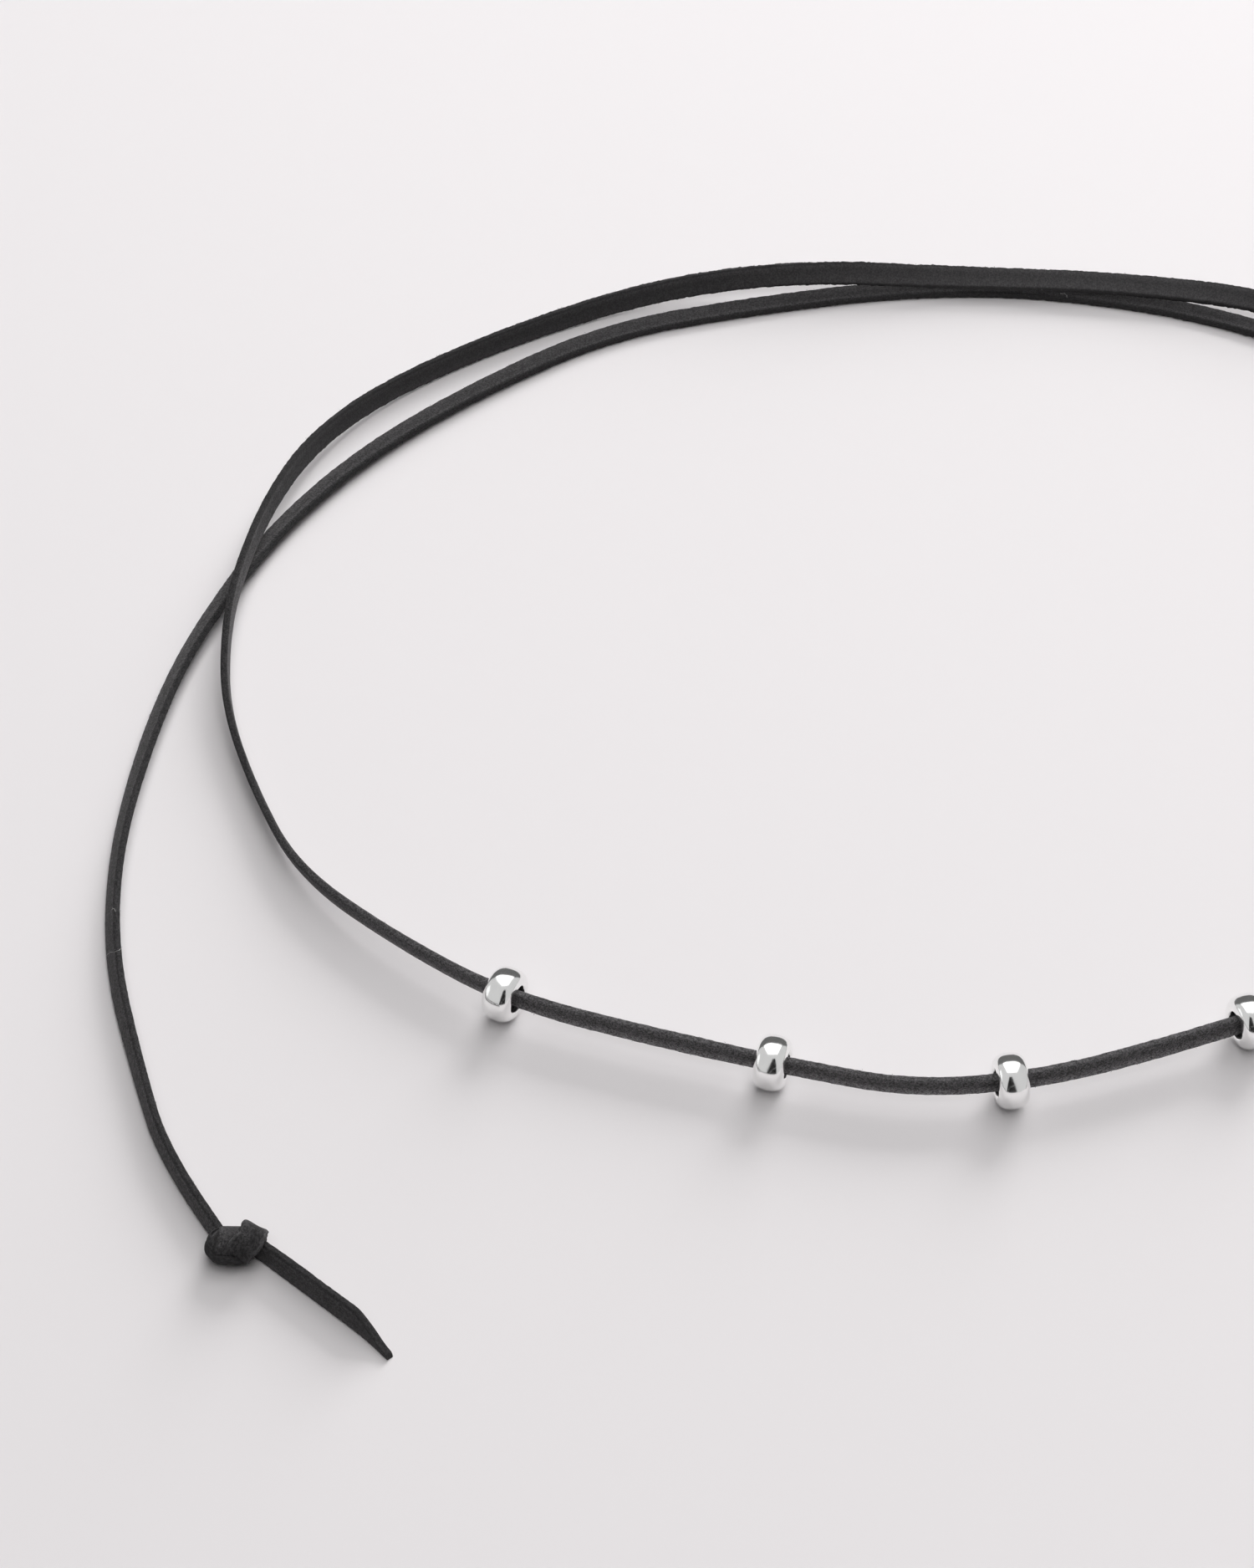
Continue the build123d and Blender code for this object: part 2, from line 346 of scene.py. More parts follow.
class Value:
    """One output of a material's nodes. Arithmetic on it adds Math nodes."""

    def __init__(self, tree, socket=None):
        self.tree = tree
        self.socket = socket

    def node(self, kind, settings=None, inputs=None, output=0):
        """Adds a node with its settings and its inputs' values or links, and gives one of its outputs."""
        added = self.tree.nodes.new(kind)
        for name, setting in (settings or {}).items():
            setattr(added, name, setting)
        for name, value in (inputs or {}).items():
            if isinstance(value, Value):
                self.tree.links.new(value.socket, added.inputs[name])
            else:
                added.inputs[name].default_value = value
        return Value(self.tree, added.outputs[output])

    def maths(self, operation, *values):
        """The result of a Math node."""
        return self.node("ShaderNodeMath", {"operation": operation}, dict(enumerate(values)))

    def __add__(self, other):
        return self.maths("ADD", self, other)

    __radd__ = __add__

    def __mul__(self, other):
        return self.maths("MULTIPLY", self, other)

    __rmul__ = __mul__

    def __sub__(self, other):
        return self.maths("SUBTRACT", self, other)

    def __rsub__(self, other):
        return self.maths("SUBTRACT", other, self)

    def __abs__(self):
        return self.maths("ABSOLUTE", self)

    def ramp(self, low, high):
        """0 at low and 1 at high, with a smooth step between."""
        return self.node("ShaderNodeMapRange", {"interpolation_type": "SMOOTHSTEP"},
                         {"Value": self, "From Min": low, "From Max": high})

    def mix(self, low, high):
        """The colour low where this is 0 and high where it is 1."""
        low, high = (colour if isinstance(colour, Value) else (*colour, 1) for colour in (low, high))
        return self.node("ShaderNodeMix", {"data_type": "RGBA"}, {0: self, 6: low, 7: high}, output=2)

    def noise(self, scale, detail=2.0, roughness=0.5):
        """Noise at a vector of millimetres, at so many bumps in a millimetre."""
        return self.node("ShaderNodeTexNoise", None, {"Vector": self, "Scale": scale, "Detail": detail,
                                                      "Roughness": roughness})

    def scaled(self, vector, factor):
        """A vector or a colour times a factor."""
        return self.node("ShaderNodeVectorMath", {"operation": "SCALE"}, {0: vector, "Scale": factor})

    def object_place(self):
        """The place on the object, in millimetres."""
        return self.scaled(self.node("ShaderNodeTexCoord", output=3), 1 / MM)

    def bump(self, strength, distance, height):
        """The surface's normal, bent by a relief."""
        return self.node("ShaderNodeBump", None,
                         {"Strength": strength, "Distance": distance, "Height": height})


def new_material(name):
    """A material with a bare surface shader, the shader's node and a value to build on."""
    material = bpy.data.materials.new(name)
    material.use_nodes = True
    tree = material.node_tree
    return material, tree.nodes["Principled BSDF"], Value(tree)


def feed(shader, sockets):
    """Sets or links the shader's sockets."""
    for name, value in sockets.items():
        if isinstance(value, Value):
            value.tree.links.new(value.socket, shader.inputs[name])
        else:
            shader.inputs[name].default_value = value


def leather_material():
    """Dyed leather: a matt speckled face, calmer in the back, and fibrous cut edges, with painted light that
    makes the front, the face's edges and the collar's cut edges paler.
    """
    sizes = sizes_of("leather")
    material, shader, value = new_material("dyed_leather")
    place = value.scaled(value.node("ShaderNodeAttribute", {"attribute_name": "cut_place"}, output=1), 1 / MM)
    apart = value.node("ShaderNodeSeparateXYZ", None, {0: place})
    station, through, height = (Value(value.tree, apart.socket.node.outputs[axis]) for axis in "XYZ")
    across = abs(height)
    half_width = sizes.width / 2 / MM

    # Masks of the strip's parts, each 1 inside its part
    edge = across.ramp(half_width - 0.45, half_width - 0.1)
    outward = through.ramp(0.2, -0.2)
    front = abs(station - FRONT_MIDDLE).ramp(125.0, 60.0)
    inner_back = abs(station - INNER_BACK_MIDDLE).ramp(160.0, 80.0)
    outer_back = abs(station - OUTER_BACK_MIDDLE).ramp(140.0, 90.0)
    knotted = station.ramp(CORE_GRAIN - 30.0, CORE_GRAIN - 20.0)
    collar = station.ramp(COLLAR_GRAIN - 10.0, COLLAR_GRAIN)

    # Shares of the mottling and of the brightness, and the noises that they act on
    calm = 1 - 0.65 * outer_back - 0.45 * inner_back
    # Painted light: the face lighter towards its lower edge, as light bounced from the floor would make it,
    # much more so on the outer face of the front stretch, and lighter near its top edge as a painted
    # highlight
    rise = 1 + height.ramp(0.9, -1.6) * (0.55 + 1.5 * front * outward) + 0.45 * height.ramp(0.3, 1.5)
    blotches = place.noise(1.1, 4.0, 0.6)
    grain = place.noise(4.6, 1.0, 0.5)
    fleck = place.noise(5.2, 0.0, 0.5)
    along = place.node("ShaderNodeVectorMath", {"operation": "MULTIPLY"}, {0: place, 1: (0.5, 1.0, 1.0)})
    fibre = along.noise(5.0, 3.0, 0.7)

    mottle = (blotches.ramp(0.3, 0.7) - 0.5) * 0.3 + (grain.ramp(0.36, 0.64) - 0.5) * 1.1
    mottle = (mottle + fleck.ramp(0.58, 0.7) * 0.8) * calm * (1 - 0.35 * knotted)
    # Painted light and tone: the outer face of the front stretch painted paler and the flat inner back strand
    # given painted shade; the knots' strips and the collar simply darker
    painted_light_and_tone = 1 + 0.25 * front * outward - 0.2 * inner_back - 0.12 * knotted - 0.25 * collar
    shade = (1.03 + mottle) * painted_light_and_tone * rise
    cut_shade = 0.7 + mottle * 0.45 + (fibre.ramp(0.3, 0.7) - 0.5) * 0.25 * calm
    # Painted highlight: the cut edges of the front stretch and of the knot's collar made much paler, as where
    # they catch the light
    cut_shade = cut_shade * (1 + 2.0 * front + 1.2 * collar)
    relief = grain * 0.6 + blotches * 0.4 + edge * fibre * 0.8
    feed(shader, {
        "Base Color": edge.mix(value.scaled(sizes.face, shade), value.scaled(sizes.cut, cut_shade)),
        "Roughness": 0.62 + grain * 0.2 + edge * 0.2,
        "Specular IOR Level": 0.12,
        "Sheen Weight": 0.04,
        "Sheen Roughness": 0.5,
        "Normal": value.bump(0.55, 0.12 * MM, relief),
    })
    return material


def fibre_material():
    """Loose fibres along the cut edges, a little paler than the leather."""
    material, shader, value = new_material("leather_fibre")
    tone = value.object_place().noise(0.9).ramp(0.35, 0.65)
    feed(shader, {"Base Color": tone.mix((0.045, 0.044, 0.045), (0.12, 0.118, 0.118)), "Roughness": 0.8})
    return material


def hair_material():
    """Loose hairs, much paler than the leather."""
    material, shader, _ = new_material("pale_hair")
    feed(shader, {"Base Color": (0.36, 0.355, 0.35, 1), "Roughness": 0.8})
    return material


def silver_material():
    """Polished silver with the faint waviness and hairlines of a tumbled casting."""
    sizes = sizes_of("beads")
    material, shader, value = new_material("polished_silver")
    place = value.object_place()
    wave = place.noise(0.9, 2.0, 0.5)
    hairline = place.noise(9.0, 3.0, 0.6)
    tone = place.noise(0.6, 1.0).ramp(0.3, 0.7)
    feed(shader, {
        "Base Color": tone.mix(tuple(0.965 * c for c in sizes.silver), tuple(sizes.silver)),
        "Metallic": 1.0,
        "Roughness": 0.13 + hairline.ramp(0.45, 0.8) * 0.06,
        "Normal": value.bump(0.25, 0.03 * MM, wave + hairline * 0.04),
    })
    return material


def smooth_line(controls, steps):
    """Points along the NURBS line that has these control points."""
    curve = bpy.data.curves.new("line", "CURVE")
    curve.dimensions = "3D"
    curve.resolution_u = steps
    spline = curve.splines.new("NURBS")
    spline.points.add(len(controls) - 1)
    for point, place in zip(spline.points, controls):
        point.co = (*place, 1)
    spline.order_u = 3
    spline.use_endpoint_u = True
    holder = bpy.data.objects.new("line", curve)
    bpy.context.scene.collection.objects.link(holder)
    mesh = bpy.data.meshes.new_from_object(holder)
    points = [vertex.co.copy() for vertex in mesh.vertices]
    bpy.data.objects.remove(holder)
    bpy.data.curves.remove(curve)
    bpy.data.meshes.remove(mesh)
    return points


class Strand:
    """The way that a strip takes: its middle line, and at each place of it the way to its top edge."""

    def __init__(self, places, tops, steps):
        self.points = smooth_line(places, steps)
        self.tops = smooth_line(tops, steps)
        self.marks = [0.0]
        for before, after in zip(self.points, self.points[1:]):
            self.marks.append(self.marks[-1] + (after - before).length)
        self.length = self.marks[-1]

    def at(self, distance):
        """Place, heading, side and top of the strip at a distance along it."""
        last = len(self.points) - 2
        here = min(max(bisect.bisect_right(self.marks, distance) - 1, 0), last)
        share = (distance - self.marks[here]) / (self.marks[here + 1] - self.marks[here])
        before = self.points[max(here - 1, 0)]
        start, end = self.points[here], self.points[here + 1]
        after = self.points[min(here + 2, last + 1)]
        ahead = (end - before).normalized().lerp((after - start).normalized(), share).normalized()
        top = self.tops[here].lerp(self.tops[here + 1], share)
        top = (top - ahead * top.dot(ahead)).normalized()
        return start.lerp(end, share), ahead, top.cross(ahead), top


def half_height(lean):
    """Half the height of the leaning strip's section."""
    sizes = sizes_of("leather")
    turned = math.radians(lean)
    return sizes.width / 2 * abs(math.cos(turned)) + sizes.thickness / 2 * abs(math.sin(turned))


def lift(support, lean):
    """How high the leaning strip's lowest edge is held up."""
    if support == "beads":
        return BEAD_RADIUS - half_height(lean)
    if support == "stack":
        return 2 * half_height(FLAT_LEAN) + STACK_CLEARANCE
    if support == "crossing":
        return 2 * half_height(CROSSING_LEAN) + CROSSING_CLEARANCE
    return 0


def lace_strand():
    """The lace's way, from its route."""
    places = [Vector((x, y, FLOOR_GAP + half_height(lean) + share * lift(support, lean)))
              for x, y, lean, support, share in LACE_ROUTE]
    tops = []
    for here, (_, _, lean, _, _) in enumerate(LACE_ROUTE):
        ahead = places[min(here + 1, len(places) - 1)] - places[max(here - 1, 0)]
        left = Vector((0, 0, 1)).cross(ahead).normalized()
        top = ahead.cross(left).normalized()
        turned = math.radians(lean)
        tops.append(top * math.cos(turned) + left * math.sin(turned))
    return Strand(places, tops, LACE_STEPS)


def knot_strand(rows):
    """A knot's strand, in metres, from its rows in millimetres."""
    places = [Vector(place) * MM for place, _ in rows]
    tops = [Vector(top).normalized() for _, top in rows]
    return Strand(places, tops, KNOT_STEPS)


def strip_box(mesh, length, pitch):
    """A straight strip of leather along +X from the origin, as it is cut, divided for its relief."""
    sizes = sizes_of("leather")
    bmesh.ops.create_cube(mesh, size=1)
    bmesh.ops.translate(mesh, verts=mesh.verts, vec=(0.5, 0, 0))
    bmesh.ops.scale(mesh, verts=mesh.verts, vec=(length, sizes.thickness, sizes.width))
    lengthwise = [e for e in mesh.edges if abs(e.verts[0].co.x - e.verts[1].co.x) > length / 2]
    bmesh.ops.bevel(mesh, geom=lengthwise, offset=sizes.arris, segments=3, profile=0.5, affect="EDGES",
                    material=-1)
    cuts = [((0, 0, share * sizes.width), (0, 0, 1)) for share in (-0.4, -0.3, 0, 0.3, 0.4)]
    cuts += [((0, share * sizes.thickness, 0), (0, 1, 0)) for share in (-0.16, 0.16)]
    for place, normal in cuts:
        bmesh.ops.bisect_plane(mesh, geom=mesh.faces[:] + mesh.edges[:] + mesh.verts[:], plane_co=place,
                               plane_no=normal)
    lengthwise = [e for e in mesh.edges if abs(e.verts[0].co.x - e.verts[1].co.x) > length / 2]
    bmesh.ops.subdivide_edges(mesh, edges=lengthwise, cuts=round(length / pitch), use_grid_fill=True)


def wear(place, seed):
    """A point of the straight strip, moved by the unevenness of the hide and of the cut."""
    sizes = sizes_of("leather")
    x, y, z = place / MM
    across = z * MM / (sizes.width / 2)
    rim = max(0.0, abs(across) - 0.75) / 0.25
    # Each noise has its waves in a millimetre inside the brackets, and its size in millimetres or as a share
    # outside them
    sway = noise.noise(Vector((x * 0.07, seed, 1.0))) * 0.03
    ragged = 0.7 * noise.noise(Vector((x * 0.9, y * 1.7, seed + math.copysign(3.0, z))))
    ragged += 1.1 * noise.noise(Vector((x * 2.1, y * 3.0, seed + math.copysign(7.0, z))))
    dent = noise.noise(Vector((x * 0.35, z * 0.5, seed + math.copysign(5.0, y)))) * 0.03
    bow = 0.02 * noise.noise(Vector((x * 0.12, seed, 4.0)))
    dome = 1 - 0.2 * across ** 4
    moved = Vector((x, y * dome + math.copysign(dent, y) * (1 - rim) + bow * across, z * (1 + sway))) * MM
    moved.z += math.copysign(sizes.ragged, z) * rim * ragged
    return moved


def table_value(table, place):
    """The table's value at a place, between its rows."""
    for (before, low), (after, high) in zip(table, table[1:]):
        if place <= after:
            return low + (high - low) * (place - before) / (after - before)
    return table[-1][1]


def lay(mesh, strand, seed, grain, cut):
    """Lays a straight strip along a strand.

    Each point keeps its straight place, which the leather's grain follows. The first is at grain.
    """
    sizes = sizes_of("leather")
    sections = {}
    layer = mesh.verts.layers.float_vector.new("cut_place")
    for vert in mesh.verts:
        straight = vert.co.copy()
        vert[layer] = straight + Vector((grain, 0, 0))
        if cut:
            left = table_value(cut, straight.x / MM) * MM / sizes.width
            straight.z = (straight.z + sizes.width / 2) * left - sizes.width / 2
        moved = wear(straight, seed)
        section = round(straight.x * PLACES_PER_METRE)
        if section not in sections:
            sections[section] = strand.at(straight.x)
        point, _, side, top = sections[section]
        vert.co = point - side * moved.y + top * moved.z


def add_object(name, mesh, material):
    """Turns a bmesh into an object of one material."""
    data = bpy.data.meshes.new(name)
    mesh.to_mesh(data)
    mesh.free()
    data.materials.append(material)
    made = bpy.data.objects.new(name, data)
    bpy.context.scene.collection.objects.link(made)
    return made


def finish_piece(mesh, name, material, smooth=True):
    """Turns a bmesh, none of it below the floor, into a piece of the necklace that rides on its body."""
    for vert in mesh.verts:
        vert.co.z = max(vert.co.z, 0)
    for face in mesh.faces:
        face.smooth = smooth
    piece = add_object(name, mesh, material)
    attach(piece, BODY)
    return piece


def leather():
    """The one leather of lace and knots."""
    return bpy.data.materials.get("dyed_leather") or leather_material()


def strip(mesh, strand, seed, pitch, length=None, grain=0.0, cut=None, early=0.0):
    """Adds a strip laid along a strand, starting early by so much and cut to a table of widths."""
    part = bmesh.new()
    strip_box(part, length or strand.length, pitch)
    bmesh.ops.translate(part, verts=part.verts, vec=(-early, 0, 0))
    lay(part, strand, seed, grain, cut)
    data = bpy.data.meshes.new("strip")
    part.to_mesh(data)
    part.free()
    mesh.from_mesh(data)
    bpy.data.meshes.remove(data)


class NECKLACE_OT_lace(bpy.types.Operator):
    """Lay the leather lace along its route"""
    bl_idname = "necklace.lace"
    bl_label = "Leather lace"

    def execute(self, context):
        strand = lace_strand()
        mesh = bmesh.new()
        strip(mesh, strand, 1.0, LACE_PITCH, strand.length + 2 * LACE_IN_KNOT, early=LACE_IN_KNOT)
        piece = finish_piece(mesh, "lace", leather())
        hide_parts("leather_lace")
        return {"FINISHED"}


def fibre(mesh, root, way, length, radius):
    """Adds one tapering fibre."""
    made = bmesh.ops.create_cone(mesh, segments=3, cap_ends=True, radius1=radius, radius2=radius * 0.35,
                                 depth=length)
    turned = Vector((0, 0, 1)).rotation_difference(way).to_matrix().to_4x4()
    middle = Matrix.Translation(root + way * length * 0.42)
    bmesh.ops.transform(mesh, matrix=middle @ turned, verts=made["verts"])


def short_fibres(mesh, strand):
    """Adds the short fibres that stand up along both cut edges."""
    sizes = sizes_of("leather")
    draw = random.Random(11)
    for _ in range(FIBRES):
        point, ahead, side, top = strand.at(draw.uniform(FIBRE_MARGIN, strand.length - FIBRE_MARGIN))
        up = draw.choice((-1, 1))
        out = draw.uniform(-0.45, 0.45) * sizes.thickness
        root = point + top * up * (sizes.width / 2 - 0.03 * MM) + side * out
        way = top * up * draw.uniform(0.25, 1) + ahead * draw.uniform(-1, 1) + side * draw.uniform(-0.6, 0.6)
        length = draw.uniform(*FIBRE_LENGTHS) * MM
        if (root + way.normalized() * length).z > 0.02 * MM:
            fibre(mesh, root, way.normalized(), length, draw.uniform(*FIBRE_RADII) * MM)


def loose_hair(mesh, strand, station, bends):
    """Adds one bent hair that lies on the lace."""
    point, ahead, side, top = strand.at(station * MM)
    places = [point + (ahead * on + top * up + side * out) * MM for on, up, out in bends]
    for start, end in zip(places, places[1:]):
        fibre(mesh, start, (end - start).normalized(), (end - start).length * 1.15, HAIR_RADIUS)


class NECKLACE_OT_fibres(bpy.types.Operator):
    """Raise loose fibres along the lace's cut edges"""
    bl_idname = "necklace.fibres"
    bl_label = "Loose fibres"

    def execute(self, context):
        strand = lace_strand()
        mesh = bmesh.new()
        short_fibres(mesh, strand)
        short_faces = len(mesh.faces)
        for station, bends in LOOSE_HAIRS:
            loose_hair(mesh, strand, station, bends)
        for face in mesh.faces[:][short_faces:]:
            face.material_index = 1
        piece = finish_piece(mesh, "lace_fibres", fibre_material(), smooth=False)
        piece.data.materials.append(hair_material())
        return {"FINISHED"}


def bead_ring(mesh):
    """A ring bead about the X axis, spun from its rounded section."""
    sizes = sizes_of("beads")
    inner = sizes.bore / 2
    rise = sizes.diameter / 2 - inner - sizes.lip
    power = 2 / sizes.squareness
    crown = []
    for step in range(CROWN_STEPS + 1):
        turned = math.pi * step / CROWN_STEPS
        reach = math.copysign(abs(math.cos(turned)) ** power, math.cos(turned)) * sizes.length / 2
        crown.append((-reach, inner + sizes.lip + rise * math.sin(turned) ** power))
    lip = []
    for step in range(1, LIP_STEPS + 1):
        turned = math.pi / 2 * step / LIP_STEPS
        lip.append((sizes.length / 2 - sizes.lip * (1 - math.cos(turned)),
                    inner + sizes.lip * (1 - math.sin(turned))))
    outline = crown + lip + [(-x, radius) for x, radius in reversed(lip)]
    verts = [mesh.verts.new((x, 0, radius)) for x, radius in outline]
    edges = [mesh.edges.new(pair) for pair in zip(verts, verts[1:] + verts[:1])]
    bmesh.ops.spin(mesh, geom=verts + edges, cent=(0, 0, 0), axis=(1, 0, 0), angle=2 * math.pi,
                   steps=BEAD_STEPS, use_merge=True, use_duplicate=False)
    bmesh.ops.remove_doubles(mesh, verts=mesh.verts, dist=1e-7)
    bmesh.ops.recalc_face_normals(mesh, faces=mesh.faces)


class NECKLACE_OT_beads(bpy.types.Operator):
    """Thread the silver beads on the lace"""
    bl_idname = "necklace.beads"
    bl_label = "Silver beads"

    def execute(self, context):
        strand = lace_strand()
        material = silver_material()
        for number, node in enumerate(BEADS):
            low, high = (Vector(corner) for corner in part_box(node))
            centre = (low + high) / 2
            near = min(range(len(strand.points)), key=lambda i: (strand.points[i] - centre).length)
            _, ahead, _, _ = strand.at(strand.marks[near])
            mesh = bmesh.new()
            bead_ring(mesh)
            for vert in mesh.verts:
                vert.co *= 1 + 0.006 * noise.noise(vert.co / MM * 0.35 + Vector((number * 9.0, 0, 0)))
            turned = Vector((1, 0, 0)).rotation_difference(Vector((ahead.x, ahead.y, 0))).to_matrix().to_4x4()
            bmesh.ops.transform(mesh, matrix=Matrix.Translation(centre) @ turned, verts=mesh.verts)
            piece = finish_piece(mesh, "silver_" + node, material)
            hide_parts(node)
        return {"FINISHED"}


def knot_line_place(place):
    """The nearest place on the middle line of the knot's body, and the body's radius there."""
    start, end = KNOT_LINE
    share = (place - start).dot(end - start) / (end - start).length_squared
    share = min(max(share, 0.0), 1.0)
    return start.lerp(end, share), KNOT_RADIUS - KNOT_TAPER * share


def knot_core(mesh, seed):
    """The lace inside the knot, a lumpy body round its middle line that shows only between the strands."""
    made = bmesh.ops.create_uvsphere(mesh, u_segments=48, v_segments=32, radius=1)
    layer = mesh.verts.layers.float_vector["cut_place"]
    start, end = KNOT_LINE
    along = (end - start).normalized()
    for vert in made["verts"]:
        bump = 1 + 0.05 * noise.noise(vert.co * 2 + Vector((seed, 0, 0)))
        behind = vert.co.dot(along) < 0
        radius = KNOT_RADIUS - CORE_INSET if behind else KNOT_RADIUS - KNOT_TAPER - CORE_INSET
        vert.co = (start if behind else end) + vert.co * bump * radius
        vert[layer] = Vector((CORE_GRAIN + vert.co.x, 0, vert.co.y * 0.5)) * MM
        vert.co *= MM


def pull_tight(verts):
    """Rounds the strands of the knot's body, as the pull on the lace does."""
    for vert in verts:
        place = vert.co / MM
        middle, radius = knot_line_place(place)
        out = place - middle
        if out.length > radius:
            vert.co = (middle + out.normalized() * (radius + LOOSENESS * (out.length - radius))) * MM


def turn_of_knot(mesh, rows, seed, grain):
    """Adds one strand of a knot, its grain starting at so many millimetres along the leather."""
    strip(mesh, knot_strand(rows), seed, KNOT_PITCH, grain=grain * MM)


def knot_mesh(seed):
    """A knot with its tail, tied at the origin where the lace comes in heading +X."""
    mesh = bmesh.new()
    turn_of_knot(mesh, LOBE_STRAND, seed, LOBE_GRAIN + seed)
    turn_of_knot(mesh, REAR_STRAND, seed + 2, REAR_GRAIN + seed)
    pull_tight(mesh.verts)
    turn_of_knot(mesh, LOW_STRAND, seed + 3, LOW_GRAIN + seed)
    turn_of_knot(mesh, COLLAR_STRAND, seed + 4, COLLAR_GRAIN + seed)
    strip(mesh, knot_strand(TAIL_STRAND), seed + 6, TAIL_PITCH, sizes_of("knots").tail,
          (TAIL_GRAIN + seed) * MM, TAIL_CUT)
    knot_core(mesh, seed)
    for vert in mesh.verts:
        vert.co.z = max(vert.co.z, FLOOR_GAP)
    return mesh


class NECKLACE_OT_knots(bpy.types.Operator):
    """Tie the knots at the loose ends"""
    bl_idname = "necklace.knots"
    bl_label = "Knots"

    def execute(self, context):
        points = lace_strand().points
        # Each knot's node, where the lace ends, the way that it heads there, the knot's hand and its seed
        ends = [("knot_left", points[0], points[0] - points[1], 1, 21.0),
                ("knot_right", points[-1], points[-1] - points[-2], -1, 52.0)]
        for node, end, ahead, hand, seed in ends:
            mesh = knot_mesh(seed)
            heading = math.atan2(ahead.y, ahead.x)
            matrix = (Matrix.Translation((end.x, end.y, 0)) @ Matrix.Rotation(heading, 4, "Z")
                      @ Matrix.Diagonal((1, hand, 1, 1)))
            bmesh.ops.transform(mesh, matrix=matrix, verts=mesh.verts)
            if hand < 0:
                bmesh.ops.reverse_faces(mesh, faces=mesh.faces)
            piece = finish_piece(mesh, "tied_" + node, leather())
            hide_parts(node)
        return {"FINISHED"}


def toward(azimuth, elevation):
    """The way out from the necklace at an azimuth and an elevation in degrees."""
    around, above = math.radians(azimuth), math.radians(elevation)
    return Vector((math.sin(around) * math.cos(above), math.cos(around) * math.cos(above), math.sin(above)))


def stage_glow(name, mesh, brightness):
    """Makes a mesh a glowing thing of the stage that only the polished metal shows."""
    material, shader, _ = new_material(name)
    feed(shader, {"Base Color": (0, 0, 0, 1), "Specular IOR Level": 0.0,
                  "Emission Color": (1, 1, 1, 1), "Emission Strength": brightness})
    panel = add_object(name, mesh, material)
    panel.visible_camera = False
    panel.visible_diffuse = False
    panel.visible_shadow = False
    panel.visible_transmission = False


def card(name, corners, brightness, distance):
    """A flat card of the light tent, from its corners' azimuths and elevations in degrees."""
    mesh = bmesh.new()
    verts = [mesh.verts.new(toward(*corner) * distance) for corner in corners]
    bmesh.ops.contextual_create(mesh, geom=verts)
    stage_glow(name, mesh, brightness)


def soft_light(name, power, azimuth, elevation, width, height):
    """A soft light that the metal doesn't mirror, turned to the necklace."""
    light = bpy.data.lights.new(name, "AREA")
    light.shape = "RECTANGLE"
    light.size = width
    light.size_y = height
    light.energy = power
    light.color = LIGHT_COLOUR
    lamp = bpy.data.objects.new(name, light)
    away = toward(azimuth, elevation)
    lamp.location = away * LIGHT_DISTANCE
    lamp.rotation_euler = away.to_track_quat("Z", "Y").to_euler()
    lamp.visible_glossy = False
    bpy.context.scene.collection.objects.link(lamp)


def light_tent(brightness):
    """The white tent round the necklace and its cards, which only the polished metal shows."""
    mesh = bmesh.new()
    bmesh.ops.create_uvsphere(mesh, u_segments=24, v_segments=16, radius=TENT_RADIUS)
    stage_glow("tent", mesh, brightness)
    for name, (glow, corners) in TENT_CARDS.items():
        card(name, corners, glow, FOLD_DISTANCE if name.startswith("fold") else CARD_DISTANCE)


def stage_floor(colour):
    """The plain matt floor."""
    mesh = bmesh.new()
    bmesh.ops.create_grid(mesh, x_segments=1, y_segments=1, size=FLOOR_REACH)
    material, shader, _ = new_material("pale_floor")
    feed(shader, {"Base Color": (*colour, 1), "Roughness": 0.9, "Specular IOR Level": 0.1})
    floor = add_object("floor", mesh, material)


def stage_camera(elevation, distance):
    """The photograph's camera, which looks down at its target from the front."""
    camera = bpy.data.cameras.new("camera")
    camera.sensor_fit = "HORIZONTAL"
    camera.sensor_width = SENSOR_WIDTH
    camera.lens = SENSOR_WIDTH * FOCAL_PIXELS / PICTURE_PIXELS
    camera.clip_start = 0.05
    camera.clip_end = 20
    view = bpy.data.objects.new("camera", camera)
    back = Vector((0, -math.cos(elevation), math.sin(elevation)))
    view.location = TARGET + back * distance
    view.rotation_euler = (math.pi / 2 - elevation, 0, 0)
    bpy.context.scene.collection.objects.link(view)
    bpy.context.scene.camera = view


def stage_surround(brightness):
    """The faint light from all round."""
    world = bpy.data.worlds.new("surround")
    world.use_nodes = True
    background = world.node_tree.nodes["Background"]
    background.inputs["Color"].default_value = (*LIGHT_COLOUR, 1)
    background.inputs["Strength"].default_value = brightness
    bpy.context.scene.world = world


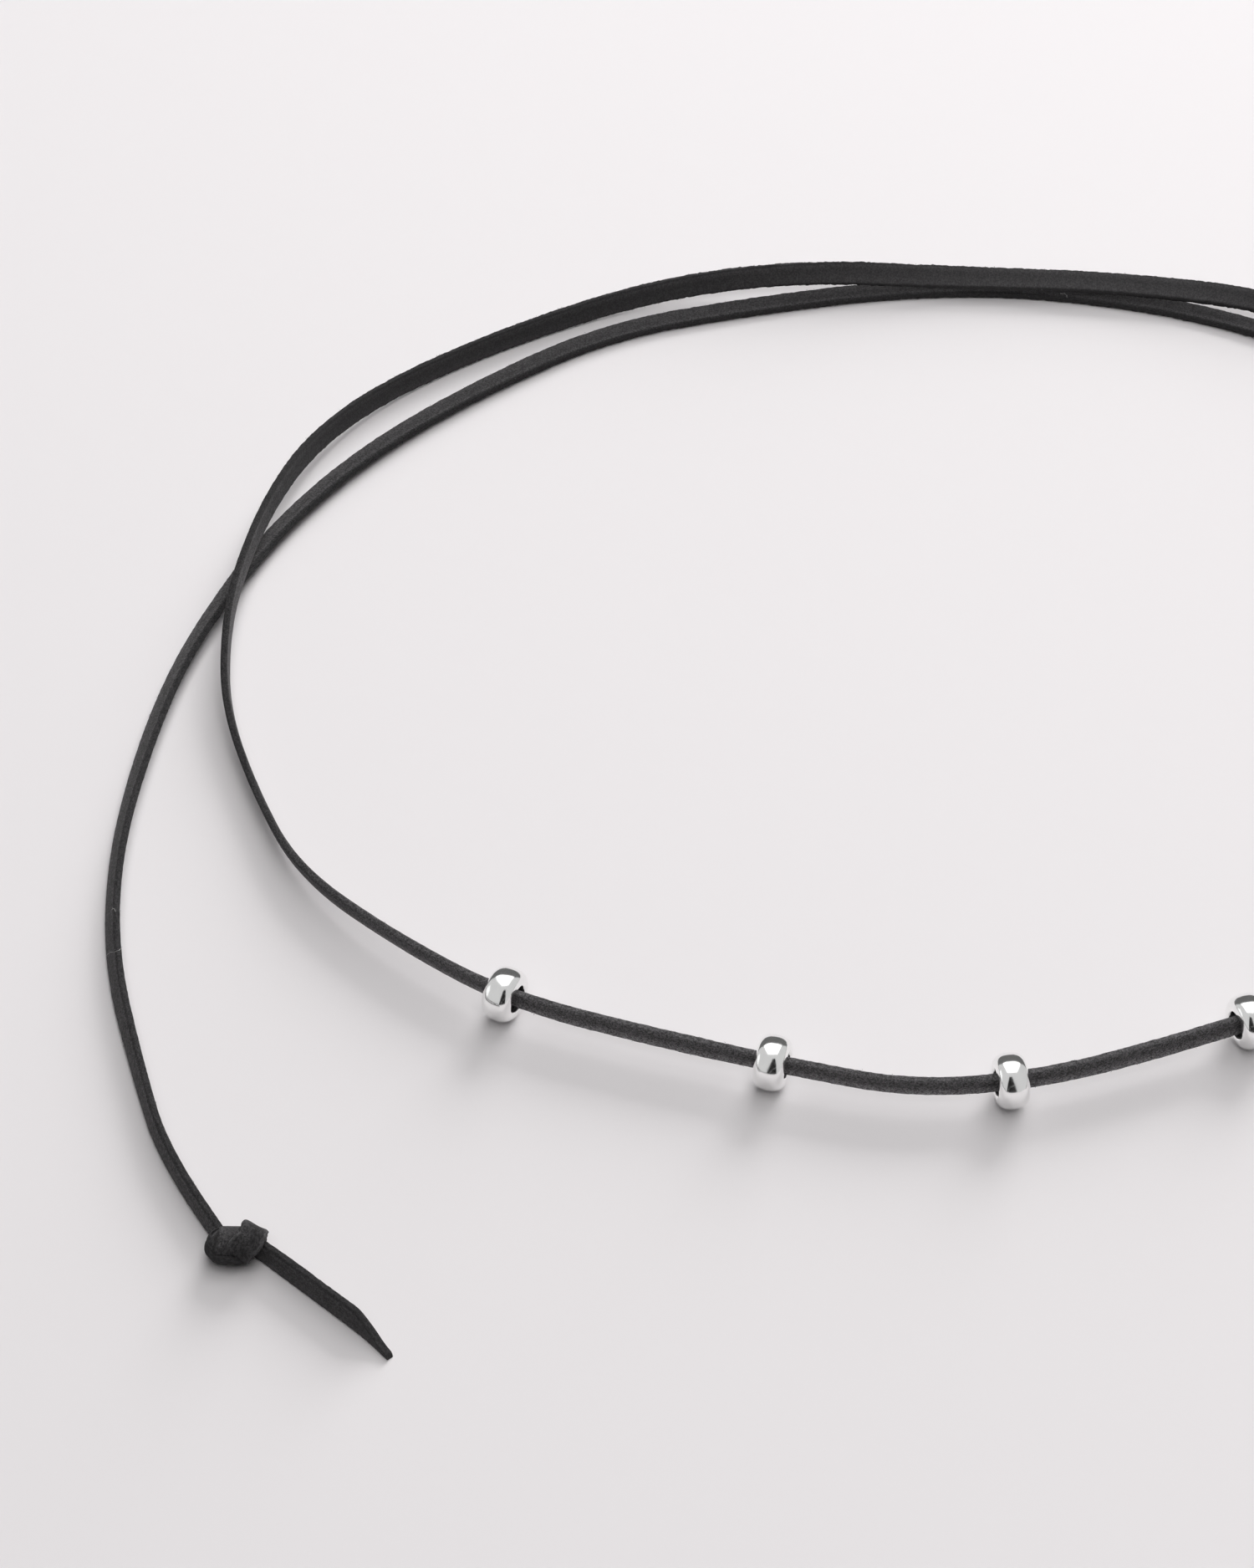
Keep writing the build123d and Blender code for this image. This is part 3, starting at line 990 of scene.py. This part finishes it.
class NECKLACE_OT_stage(bpy.types.Operator):
    """Set up the floor, the camera and the soft light"""
    bl_idname = "necklace.stage"
    bl_label = "Stage"

    def execute(self, context):
        sizes = sizes_of("stage")
        context.scene.view_settings.view_transform = "Standard"
        stage_camera(sizes.elevation, sizes.distance)
        stage_surround(sizes.surround)
        soft_light("window", sizes.window, azimuth=22, elevation=20, width=0.72, height=0.98)
        soft_light("skylight", sizes.skylight, azimuth=22, elevation=63, width=0.92, height=1.18)
        soft_light("ceiling", sizes.ceiling, azimuth=180, elevation=70, width=0.92, height=1.05)
        stage_floor(sizes.floor)
        light_tent(sizes.tent)
        return {"FINISHED"}


class NECKLACE_OT_cord(bpy.types.Operator):
    bl_idname = "necklace.cord"
    bl_label = "Free cord"

    def execute(self, context):
        strand = lace_strand()
        width = sizes_of("leather").width
        objects = bpy.data.objects
        on_it = [objects[name] for name in ("lace_fibres", "tied_knot_left", "tied_knot_right")]
        on_it += [objects["silver_" + node] for node in BEADS]
        return {"FINISHED"}


class NECKLACE_PT_pieces(bpy.types.Panel):
    """Lists the pieces and their sizes"""
    bl_label = "Leather cord necklace"
    bl_space_type = "VIEW_3D"
    bl_region_type = "UI"
    bl_category = "Necklace"

    def draw(self, context):
        for group in GROUPS:
            box = self.layout.box()
            sizes = sizes_of(group)
            for name in sizes.bl_rna.properties.keys():
                if name not in ("rna_type", "name"):
                    box.prop(sizes, name)
        for operator in OPERATORS:
            self.layout.operator(operator.bl_idname)


GROUPS = {"leather": NecklaceLeather, "beads": NecklaceBeads, "knots": NecklaceKnots, "stage": NecklaceStage}
OPERATORS = [NECKLACE_OT_stage, NECKLACE_OT_lace, NECKLACE_OT_fibres, NECKLACE_OT_beads, NECKLACE_OT_knots,
             NECKLACE_OT_cord]


def register():
    for kind in (*GROUPS.values(), *OPERATORS, NECKLACE_PT_pieces):
        bpy.utils.register_class(kind)
    for group, kind in GROUPS.items():
        setattr(bpy.types.Scene, "necklace_" + group, bpy.props.PointerProperty(type=kind))


def unregister():
    for group in GROUPS:
        delattr(bpy.types.Scene, "necklace_" + group)
    for kind in (NECKLACE_PT_pieces, *OPERATORS, *GROUPS.values()):
        bpy.utils.unregister_class(kind)


def main():
    """Builds the scene."""
    register()
    for operator in OPERATORS:
        group, name = operator.bl_idname.split(".")
        getattr(getattr(bpy.ops, group), name)()


if __name__ == "__main__":
    main()
